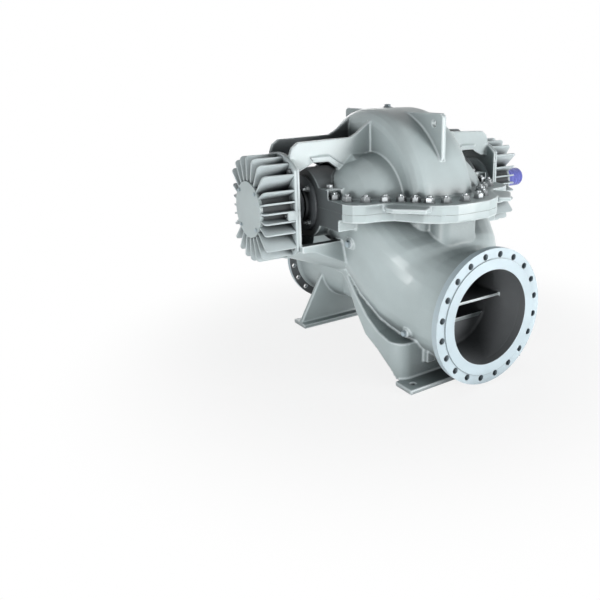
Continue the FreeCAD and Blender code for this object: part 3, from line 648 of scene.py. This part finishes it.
# One plug in each end, where the shaft comes out
PLUG_FROM_X, PLUG_TO_X, PLUG_Y, PLUG_TOP_Z = 0.535, 0.557, (0.020, 0.250), 0.992

work = merged("upper_casing")
grow_joint(work, UPPER_JOINT_Z, -1, JOINT_DEPTH)
lid_from_z = UPPER_JOINT_Z - JOINT_DEPTH
for half_x, ys in LIDS:
    add_box(work, (-half_x, half_x), ys, (lid_from_z, LID_TOP_Z))
for end in (-1, 1):
    add_box(work, (end * PLUG_FROM_X, end * PLUG_TO_X), PLUG_Y, (lid_from_z, PLUG_TOP_Z))
upper_skin = cast_skin(work, "upper_casing_skin", voxel_mm=5.0, rounds=2, most=190000)
mill_joint(upper_skin, UPPER_JOINT_Z, True)
paint(upper_skin, [casting_enamel, painted_shade_grey], lambda c, n: 1 if shade_between_brackets(c, n) else 0)
hand_over(upper_skin, "pump", "painted_casting", "upper_casing")

# %% [markdown]
# Machined and turned solids stay crisp. They are copied, shaded smooth only where faces meet at a small
# angle, and weighted normals keep their big flat faces flat. The lacquer covers only the end of the shaft.

# %% Crisp copies
LACQUER_FROM_X = 0.872


def crisp_copy(node, body, name, material, slot):
    made = to_object(merged(node), name)
    made.data.shade_smooth()
    made.data.set_sharp_from_angle(angle=math.radians(32.0))
    even = made.modifiers.new("even_normals", "WEIGHTED_NORMAL")
    even.keep_sharp = True
    even.weight = 80
    paint(made, [material], None)
    hand_over(made, body, slot, node)
    return made


for end in ("nde", "de"):
    crisp_copy(end + "_bearing_cover", "pump", end + "_cover_skin", casting_enamel, "painted_casting")
    crisp_copy(end + "_seal_cover", "pump", end + "_gland_skin", gland_steel, "shaft_steel")
shaft_skin = crisp_copy("shaft", "rotor", "shaft_skin", ground_steel, "shaft_steel")
paint(shaft_skin, [ground_steel, shaft_lacquer], lambda c, n: 1 if c.x > LACQUER_FROM_X else 0)
crisp_copy("deflectors", "rotor", "deflector_skin", gland_steel, "shaft_steel")

# %% [markdown]
# Each bearing sits in a barrel that is cooled by a crown of straight fins. Geometry Nodes make the crown:
# one plate with rounded corners is filled and thickened, set round the axis, and drawn in where it would
# stand out past the flat sides of the flange. The tree is built once, with the sizes as its inputs.

# %% Fin tree
def fin_tree(name):
    tree, given = new_tree(name, [("Count", "Int"), ("Root", "Float"), ("Reach", "Float"), ("Flat", "Float"),
                                  ("From", "Float"), ("Length", "Float"), ("Thick", "Float"),
                                  ("Corner", "Float"), ("Half Turn", "Float"), ("Finish", "Material")])
    # One plate: a rectangle with rounded corners, filled, thickened and closed.
    height = add_node(tree, MATH, {0: given["Reach"], 1: given["Root"]}, operation="SUBTRACT")
    outline = add_node(tree, "GeometryNodeCurvePrimitiveQuadrilateral",
                       {"Width": given["Length"], "Height": height.outputs[0]})
    rounded = add_node(tree, "GeometryNodeFilletCurve",
                       {"Curve": outline.outputs[0], "Count": 4, "Radius": given["Corner"]}, mode="POLY")
    sheet = add_node(tree, "GeometryNodeFillCurve", {"Curve": rounded.outputs[0]}, mode="NGONS")
    plate = add_node(tree, "GeometryNodeExtrudeMesh",
                     {"Mesh": sheet.outputs[0], "Offset Scale": given["Thick"], "Individual": False},
                     mode="FACES")
    under = add_node(tree, "GeometryNodeFlipFaces", {"Mesh": sheet.outputs[0]})
    both = add_node(tree, "GeometryNodeJoinGeometry")
    tree.links.new(plate.outputs[0], both.inputs[0])
    tree.links.new(under.outputs[0], both.inputs[0])
    whole = add_node(tree, "GeometryNodeMergeByDistance", {"Geometry": both.outputs[0]})
    # It stands up on the barrel, with its middle over the axis.
    along = add_node(tree, MATH, {0: given["Length"], 1: 0.5, 2: given["From"]}, operation="MULTIPLY_ADD")
    aside = add_node(tree, MATH, {0: given["Thick"], 1: 0.5}, operation="MULTIPLY")
    middle = add_node(tree, MATH, {0: height.outputs[0], 1: 0.5, 2: given["Root"]},
                      operation="MULTIPLY_ADD")
    shift = add_node(tree, "ShaderNodeCombineXYZ",
                     {"X": along.outputs[0], "Y": aside.outputs[0], "Z": middle.outputs[0]})
    stand = add_node(tree, "GeometryNodeTransform",
                     {"Geometry": whole.outputs[0], "Translation": shift.outputs[0],
                      "Rotation": (math.radians(90.0), 0.0, 0.0)})
    # Its turn round the axis is its number's share of a full turn.
    seats = add_node(tree, "GeometryNodeMeshLine", {"Count": given["Count"], "Offset": (0.0, 0.0, 0.0)})
    index = add_node(tree, "GeometryNodeInputIndex")
    full_turns = add_node(tree, MATH, {0: index.outputs[0], 1: 2.0 * math.pi}, operation="MULTIPLY")
    turn = add_node(tree, MATH, {0: full_turns.outputs[0], 1: given["Count"]}, operation="DIVIDE")
    # The flat sides allow a reach of Flat over the sine of the turn, and a fin is scaled down to that.
    sine = add_node(tree, MATH, {0: turn.outputs[0]}, operation="SINE")
    size = add_node(tree, MATH, {0: sine.outputs[0]}, operation="ABSOLUTE")
    sideways = add_node(tree, MATH, {0: size.outputs[0], 1: 0.01}, operation="MAXIMUM")
    allowed = add_node(tree, MATH, {0: given["Flat"], 1: sideways.outputs[0]}, operation="DIVIDE")
    fitting = add_node(tree, MATH, {0: allowed.outputs[0], 1: given["Reach"]}, operation="DIVIDE")
    share = add_node(tree, MATH, {0: fitting.outputs[0], 1: 1.0}, operation="MINIMUM")
    euler = add_node(tree, "ShaderNodeCombineXYZ", {"X": turn.outputs[0]})
    rotation = add_node(tree, "FunctionNodeEulerToRotation", {"Euler": euler.outputs[0]})
    scale = add_node(tree, "ShaderNodeCombineXYZ", {"X": 1.0, "Y": 1.0, "Z": share.outputs[0]})
    crown = add_node(tree, "GeometryNodeInstanceOnPoints",
                     {"Points": seats.outputs[0], "Instance": stand.outputs[0],
                      "Rotation": rotation.outputs[0], "Scale": scale.outputs[0]})
    real = add_node(tree, "GeometryNodeRealizeInstances", {"Geometry": crown.outputs[0]})
    about = add_node(tree, "ShaderNodeCombineXYZ", {"Z": given["Half Turn"]})
    placed = add_node(tree, "GeometryNodeTransform",
                      {"Geometry": real.outputs[0], "Rotation": about.outputs[0],
                       "Translation": SHAFT_CENTRE})
    dressed = add_node(tree, "GeometryNodeSetMaterial",
                       {"Geometry": placed.outputs[0], "Material": given["Finish"]})
    add_node(tree, "NodeGroupOutput", {"Geometry": dressed.outputs[0]})
    return tree


cooling_fins = fin_tree("cooling_fins")
print("fin tree nodes", len(cooling_fins.nodes))

# %% [markdown]
# The barrel is turned, so one profile is swept round the axis. Its mounting plate has two flat sides: it is
# a ring whose radius stops at the flat. A lug on each side of the plate carries the ear bolts. A small
# bevel breaks the edges, as on the real casting.

# %% Bearing housings
HOUSING_FROM_X, SPIGOT_TO_X, SEAT_FROM_X, BARREL_TO_X = 0.684, 0.7125, 0.760, 0.870
SHAFT_HOLE_R, SEAT_R, BARREL_R, SPIGOT_R = 0.078, 0.115, 0.145, 0.1575
PLATE_FROM_X, PLATE_TO_X, PLATE_HOLE_R, PLATE_R = 0.698, 0.713, 0.120, 0.282
FLAT_HALF = 0.190
LUG_FROM_X, LUG_TO_X, LUG_WIDTH, LUG_HEIGHT = 0.712, 0.754, 0.030, 0.044
# Part of the barrel between the fins
ROOT_FROM_X, ROOT_TO_X, ROOT_R = 0.715, 0.868, 0.147
FINS = {"Count": 24, "Root": 0.138, "Reach": 0.275, "Flat": FLAT_HALF - 0.001, "From": 0.702,
        "Length": 0.182, "Thick": 0.009, "Corner": 0.020, "Finish": fin_enamel}


def break_edges(made, width_mm):
    soft = made.modifiers.new("broken_edges", "BEVEL")
    soft.width = width_mm / 1000.0
    soft.segments = 2
    soft.limit_method = "ANGLE"
    soft.angle_limit = math.radians(40.0)
    settle(made)
    made.data.shade_smooth()
    made.data.set_sharp_from_angle(angle=math.radians(BEVELLED_SHARP_DEG))


def root_shade(c, n):
    # The barrel between the fins gets the dark grey as painted shade.
    from_shaft = math.hypot(c.y - AXIS_Y, c.z - AXIS_Z)
    return 1 if ROOT_FROM_X < abs(c.x) < ROOT_TO_X and from_shaft < ROOT_R and abs(n.x) < 0.5 else 0


def housing(end, side):
    node = end + "_bearing_housing"
    work = bmesh.new()
    turned = [(HOUSING_FROM_X, SHAFT_HOLE_R), (HOUSING_FROM_X, SPIGOT_R), (SPIGOT_TO_X, SPIGOT_R),
              (SPIGOT_TO_X, BARREL_R), (BARREL_TO_X, BARREL_R), (BARREL_TO_X, SEAT_R),
              (SEAT_FROM_X, SEAT_R), (SEAT_FROM_X, SHAFT_HOLE_R)]
    plate = [(PLATE_FROM_X, PLATE_HOLE_R), (PLATE_FROM_X, PLATE_R), (PLATE_TO_X, PLATE_R),
             (PLATE_TO_X, PLATE_HOLE_R)]
    add_ring(work, [(side * x, r) for x, r in turned], "X", SHAFT_CENTRE)
    add_ring(work, [(side * x, r) for x, r in plate], "X", SHAFT_CENTRE, steps=144, flat=FLAT_HALF)
    for y in (AXIS_Y - FLAT_HALF, AXIS_Y + FLAT_HALF - LUG_WIDTH):
        add_box(work, (side * LUG_FROM_X, side * LUG_TO_X), (y, y + LUG_WIDTH), (AXIS_Z - LUG_HEIGHT, AXIS_Z))
    barrel = to_object(work, end + "_housing_barrel")
    break_edges(barrel, width_mm=1.6)
    paint(barrel, [fin_enamel, painted_shade_grey], root_shade)
    hand_over(barrel, "pump", "painted_casting", node)
    crown = into_scene(end + "_fin_crown", bpy.data.meshes.new(end + "_fin_crown"))
    use_tree(crown, "fins", cooling_fins, {**FINS, "Half Turn": math.pi if side < 0 else 0.0})
    settle(crown)
    break_edges(crown, width_mm=1.4)
    hand_over(crown, "pump", "painted_casting", node)


housing("nde", -1)
housing("de", 1)

# %% [markdown]
# Bolts repeat, so Geometry Nodes make them: one hexagon head on its washer, with the end of the stud above
# it, is set on each point and given its own turn, because no fitter lines the flats up. The places are read
# from the frame's simple heads, so both models agree.

# %% Bolt tree
# Parts of a head from its seat up: corners, radius as a share of the width over flats, and the bottom and
# top as shares of the height: washer, hexagon, chamfered crown.
HEAD_PARTS = [(20, 0.66, 0.0, 0.12), (6, 0.577, 0.12, 0.88), (20, 0.485, 0.88, 1.0)]
STUD_SHARE = 0.28


def bolt_tree(name):
    tree, given = new_tree(name, [("Flats", "Float"), ("Head", "Float"), ("Stud", "Float"),
                                  ("Face", "Vector"), ("Seed", "Int"), ("Finish", "Material")])
    bolt = add_node(tree, "GeometryNodeJoinGeometry")

    def add_drum(corners, across, depth, middle):
        # Upright drum on the axis of the bolt, as deep as one output says and as high up as another.
        radius = add_node(tree, MATH, {0: given["Flats"], 1: across}, operation="MULTIPLY")
        shape = add_node(tree, "GeometryNodeMeshCylinder",
                         {"Vertices": corners, "Radius": radius.outputs[0], "Depth": depth})
        shift = add_node(tree, "ShaderNodeCombineXYZ", {"Z": middle})
        moved = add_node(tree, "GeometryNodeTransform",
                         {"Geometry": shape.outputs["Mesh"], "Translation": shift.outputs["Vector"]})
        tree.links.new(moved.outputs[0], bolt.inputs["Geometry"])

    for corners, across, low, high in HEAD_PARTS:
        depth = add_node(tree, MATH, {0: given["Head"], 1: high - low}, operation="MULTIPLY")
        middle = add_node(tree, MATH, {0: given["Head"], 1: (low + high) / 2.0}, operation="MULTIPLY")
        add_drum(corners, across, depth.outputs[0], middle.outputs[0])
    middle = add_node(tree, MATH, {0: given["Stud"], 1: 0.5, 2: given["Head"]}, operation="MULTIPLY_ADD")
    add_drum(12, STUD_SHARE, given["Stud"], middle.outputs[0])
    upright = add_node(tree, "FunctionNodeAlignRotationToVector", {"Vector": given["Face"]}, axis="Z")
    chance = add_node(tree, "FunctionNodeRandomValue", {2: -0.5, 3: 0.5, "Seed": given["Seed"]},
                      data_type="FLOAT")
    spin = add_node(tree, "FunctionNodeAxisAngleToRotation",
                    {"Angle": chance.outputs[1], "Axis": (0.0, 0.0, 1.0)})
    turned = add_node(tree, "FunctionNodeRotateRotation",
                      {"Rotation": upright.outputs[0], "Rotate By": spin.outputs[0]},
                      rotation_space="LOCAL")
    each = add_node(tree, "GeometryNodeInstanceOnPoints",
                    {"Points": given["Geometry"], "Instance": bolt.outputs[0],
                     "Rotation": turned.outputs[0]})
    real = add_node(tree, "GeometryNodeRealizeInstances", {"Geometry": each.outputs[0]})
    dressed = add_node(tree, "GeometryNodeSetMaterial",
                       {"Geometry": real.outputs[0], "Material": given["Finish"]})
    add_node(tree, "NodeGroupOutput", {"Geometry": dressed.outputs[0]})
    return tree


hex_bolts = bolt_tree("hexagon_bolts")
print("bolt tree nodes", len(hex_bolts.nodes))

# %% [markdown]
# A loose island of a node's mesh is one head. The lowest end of its box along the outward direction is the
# face that the bolt sits on.

# %% Bolt places
def islands(node):
    # Lowest and highest corner of each loose island.
    work = merged(node)
    seen = set()
    found = []
    for start in work.verts:
        if start in seen:
            continue
        seen.add(start)
        group, queue = [], [start]
        while queue:
            vert = queue.pop()
            group.append(vert.co.copy())
            for edge in vert.link_edges:
                other = edge.other_vert(vert)
                if other not in seen:
                    seen.add(other)
                    queue.append(other)
        low = Vector([min(c[i] for c in group) for i in range(3)])
        high = Vector([max(c[i] for c in group) for i in range(3)])
        found.append((low, high))
    work.free()
    return found


def bolts(node, name, face, flats_mm, head_mm, stud_mm, finish, seed):
    face = Vector(face)
    spots = []
    for low, high in islands(node):
        middle = (low + high) * 0.5
        spots.append(middle - face * abs((high - low).dot(face)) * 0.5)
    points = bpy.data.meshes.new(name)
    points.from_pydata(spots, [], [])
    row = into_scene(name, points)
    use_tree(row, "bolts", hex_bolts, {"Flats": flats_mm / 1000.0, "Head": head_mm / 1000.0,
                                       "Stud": stud_mm / 1000.0, "Face": face, "Seed": seed,
                                       "Finish": finish})
    settle(row)
    hand_over(row, "pump", "bolt_steel", node)
    return len(spots)


print("heads on the parting flange", len(islands("parting_bolts")))

# %% [markdown]
# Every kind of fastener is one row: the node that it replaces, its name, the way its head looks, its width
# over flats, the height of the head and of the stud end in millimetres, its finish and its seed.

# %% Fasteners
UP, AWAY_NDE, AWAY_DE = (0, 0, 1), (-1, 0, 0), (1, 0, 0)
FASTENERS = [
    ("parting_bolts", "parting_flange_bolts", UP, 46.0, 27.0, 9.0, bolt_zinc, 3),
    ("boss_bolts", "boss_hex_bolts", UP, 30.0, 18.0, 0.5, bolt_zinc, 5),
    ("top_plug", "vent_plug", UP, 32.0, 14.0, 0.5, machined_enamel, 6),
    ("side_plug", "gauge_plug", AWAY_NDE, 32.0, 14.0, 0.5, machined_enamel, 7),
    ("drain_plug", "drain_hex_plug", AWAY_NDE, 27.0, 14.0, 0.5, machined_enamel, 8),
]
for end, way in (("nde", AWAY_NDE), ("de", AWAY_DE)):
    FASTENERS += [
        (end + "_housing_bolts", end + "_housing_hex_bolts", way, 30.0, 14.0, 0.5, bolt_zinc, 11),
        (end + "_ear_bolts", end + "_ear_hex_bolts", way, 14.0, 9.0, 0.5, bolt_zinc, 12),
        (end + "_cover_screws", end + "_cover_hex_screws", way, 17.0, 8.0, 0.5, machined_enamel, 13),
        (end + "_gland_nuts", end + "_gland_studs_nuts", way, 27.0, 18.0, 16.0, bolt_zinc, 14),
    ]
for row in FASTENERS:
    print(row[0], bolts(*row))

# %% [markdown]
# What is left are small solids that hardly show. They keep their meshes and only get a finish.

# %% Finishes for the carried over parts
FINISHES = [("nde_bearing", ground_steel), ("de_bearing", ground_steel), ("casing_gasket", gasket_fibre),
            ("shaft_sleeves", ground_steel), ("shaft_key", shaft_lacquer), ("impeller", bronze)]
for node, material in FINISHES:
    nodes[node].data.materials.clear()
    nodes[node].data.materials.append(material)
print("finished as they are:", [node for node, material in FINISHES])

# %% [markdown]
# The pump stands in a pale studio. The floor keeps a soft shadow near the pump. Farther out it fades into
# the white that the camera, glossy and transmission rays see, so there is no horizon. Broad lamps keep the
# level plain, so a colour shows about as it is written.

# %% Studio floor
HALF_FLOOR = 30.0
FLOOR_DROP = 0.0005
WHITE = (1, 1, 1, 1)
FADE_FROM, FADE_TO = 0.8, 2.0
NEAR_WHITE = 0.84


def seen_directly(tree):
    # 1 for rays that come from the camera, a mirror or glass, 0 for light that falls on the pump.
    path = add_node(tree, "ShaderNodeLightPath")
    straight = add_node(tree, MATH, {0: path.outputs["Is Camera Ray"],
                                     1: path.outputs["Is Transmission Ray"]}, operation="MAXIMUM")
    any_way = add_node(tree, MATH, {0: straight.outputs[0], 1: path.outputs["Is Glossy Ray"]},
                       operation="MAXIMUM")
    return any_way.outputs[0]


def studio_floor_paint():
    material, tree = new_material("white_studio_vinyl")
    place = add_node(tree, "ShaderNodeTexCoord").outputs["Object"]
    reach = add_node(tree, "ShaderNodeVectorMath", {0: place}, operation="LENGTH")
    far = add_node(tree, RANGE, {"Value": reach.outputs["Value"], "From Min": FADE_FROM,
                                 "From Max": FADE_TO}, interpolation_type="SMOOTHSTEP")
    near = add_node(tree, RANGE, {"Value": far.outputs["Result"], "To Min": NEAR_WHITE})
    seen = add_node(tree, MATH, {0: near.outputs["Result"], 1: seen_directly(tree)}, operation="MULTIPLY")
    grain = add_node(tree, "ShaderNodeTexNoise", {"Vector": place, "Scale": 400.0})
    rough = add_node(tree, RANGE,
                     {"Value": grain.outputs["Fac"], "To Min": 0.85, "To Max": 0.95, **NOISE_BAND})
    vinyl = add_node(tree, "ShaderNodeBsdfPrincipled",
                     {"Base Color": linear("#FBFBFB"), "Roughness": rough.outputs["Result"]})
    white = add_node(tree, "ShaderNodeEmission", {"Color": WHITE, "Strength": 1.0})
    both = add_node(tree, "ShaderNodeMixShader",
                    {0: seen.outputs[0], 1: vinyl.outputs["BSDF"], 2: white.outputs["Emission"]})
    add_node(tree, "ShaderNodeOutputMaterial", {"Surface": both.outputs[0]})
    return material


corners = [(x * HALF_FLOOR, y * HALF_FLOOR, 0) for x, y in ((-1, -1), (1, -1), (1, 1), (-1, 1))]
floor_mesh = bpy.data.meshes.new("studio_floor")
floor_mesh.from_pydata(corners, [], [(0, 1, 2, 3)])
floor_mesh.materials.append(studio_floor_paint())
floor = into_scene("studio_floor", floor_mesh)
floor.location = (0, 0, -FLOOR_DROP)
print("floor half width", HALF_FLOOR)

# %% [markdown]
# Four soft boxes light the pump. One stands in front at the right and one low at the left, so faces towards
# the suction side are bright and tops stay darker, as in the photograph. The world adds a weak even fill.

# %% Studio light
FILL_LEVEL = 0.11
# Name, place, the point that it looks at, its width in metres and its power in watts
LAMPS = [
    ("key_softbox", (2.5, -4.7, 1.0), (0, 0, 0.6), 1.8, 200.0),
    ("side_softbox", (-4.5, -2.9, 0.2), (0, 0, 0.4), 1.6, 215.0),
    ("top_softbox", (0.8, -0.4, 5.2), (0, 0, 0.7), 3.0, 6.0),
    ("back_softbox", (1.5, 4.7, 1.6), (0, 0, 0.8), 3.0, 80.0),
]
world = bpy.data.worlds.new("studio_white")
bpy.context.scene.world = world
world.use_nodes = True
sky = world.node_tree
sky.nodes.clear()
plain = add_node(sky, "ShaderNodeBackground", {"Color": linear("#E8EEF2"), "Strength": FILL_LEVEL})
white = add_node(sky, "ShaderNodeBackground", {"Color": WHITE, "Strength": 1.0})
both = add_node(sky, "ShaderNodeMixShader",
                {0: seen_directly(sky), 1: plain.outputs[0], 2: white.outputs[0]})
add_node(sky, "ShaderNodeOutputWorld", {"Surface": both.outputs[0]})

for name, place, target, width, watts in LAMPS:
    data = bpy.data.lights.new(name, "AREA")
    data.size = width
    data.energy = watts
    lamp = into_scene(name, data)
    lamp.location = place
    lamp.rotation_euler = (Vector(target) - Vector(place)).to_track_quat("-Z", "Y").to_euler()
print("lamps", len(bpy.data.lights))

# %% [markdown]
# The camera stands where the photograph was taken from, found by fitting the bolt holes of the big flange.
# The shift moves the frame without turning the camera, as in the photograph.

# %% Camera
LENS_MM, SENSOR_MM = 37.72, 36.0
SHIFT_X, SHIFT_Y = -0.1483, -0.09
CAMERA_PLACE = (-2.17625, -2.84031, 1.51881)
CAMERA_DOWN_DEG, CAMERA_TURN_DEG = 14.6457, -36.3187

camera_data = bpy.data.cameras.new("photo_camera")
camera_data.lens = LENS_MM
camera_data.sensor_width = SENSOR_MM
camera_data.shift_x = SHIFT_X
camera_data.shift_y = SHIFT_Y
camera = into_scene("photo_camera", camera_data)
camera.location = CAMERA_PLACE
camera.rotation_euler = (math.radians(90.0 - CAMERA_DOWN_DEG), 0.0, math.radians(CAMERA_TURN_DEG))
bpy.context.scene.camera = camera
bpy.context.scene.view_settings.view_transform = "Standard"
print("camera at", [round(v, 3) for v in camera.location])
